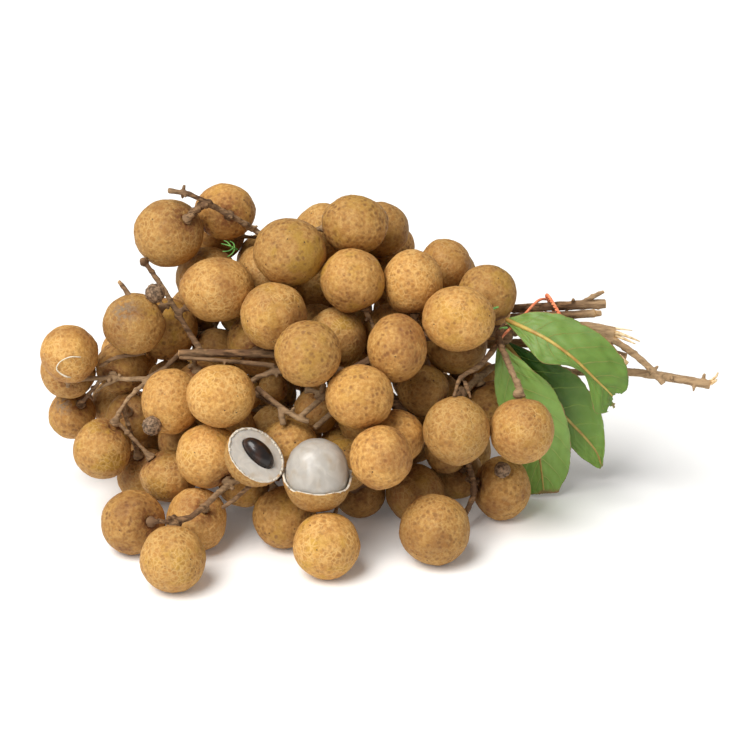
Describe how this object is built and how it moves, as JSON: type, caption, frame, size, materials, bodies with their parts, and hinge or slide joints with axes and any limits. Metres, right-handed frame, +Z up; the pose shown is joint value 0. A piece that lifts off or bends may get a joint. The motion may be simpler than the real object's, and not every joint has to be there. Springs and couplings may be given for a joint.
{
  "type": "longan bunch",
  "caption": "Bunch of round tan longans lying on its side, with branching twigs, tied stalk ends, green leaves, a peeled fruit and a half with its seed.",
  "frame": {"origin": "middle of the bunch's own box, on the surface that it lies on", "axes": "+X along the bunch towards the cut ends of its stalks, +Y away from its front, +Z up"},
  "size_m": [0.2728, 0.1634, 0.1284],
  "materials": {
    "husk": "matt, mottled, thin fruit husk",
    "bark": "dry rough twig bark",
    "leaf": "satin leaf with pale veins",
    "flesh": "wet, translucent fruit flesh",
    "seed": "polished, near black",
    "twine": "twisted thin twine"
  },
  "bodies": {
    "root": {"fruit_01": "husk", "fruit_02": "husk", "fruit_03": "husk", "fruit_04": "husk", "fruit_05": "husk", "fruit_06": "husk", "fruit_07": "husk", "fruit_08": "husk", "fruit_09": "husk", "fruit_10": "husk", "fruit_11": "husk", "fruit_12": "husk", "fruit_13": "husk", "fruit_14": "husk", "fruit_15": "husk", "fruit_16": "husk", "fruit_17": "husk", "fruit_18": "husk", "fruit_19": "husk", "fruit_20": "husk", "fruit_21": "husk", "fruit_22": "husk", "fruit_23": "husk", "fruit_24": "husk", "fruit_25": "husk", "fruit_26": "husk", "fruit_27": "husk", "fruit_28": "husk", "fruit_29": "husk", "fruit_30": "husk", "fruit_31": "husk", "fruit_32": "husk", "fruit_33": "husk", "fruit_34": "husk", "fruit_35": "husk", "fruit_36": "husk", "fruit_37": "husk", "fruit_38": "husk", "fruit_39": "husk", "fruit_40": "husk", "fruit_41": "husk", "fruit_42": "husk", "fruit_43": "husk", "fruit_44": "husk", "fruit_45": "husk", "fruit_46": "husk", "upper_branch": "bark", "second_branch": "bark", "middle_branch": "bark", "lower_branch": "bark", "back_branch": "bark", "peeled_flesh": "flesh", "peeled_husk": "husk", "half_husk": "husk", "half_flesh": "flesh", "seed": "seed", "top_leaf": "leaf", "front_leaf": "leaf", "back_leaf": "leaf", "twine": "twine"}
  },
  "joints": []
}
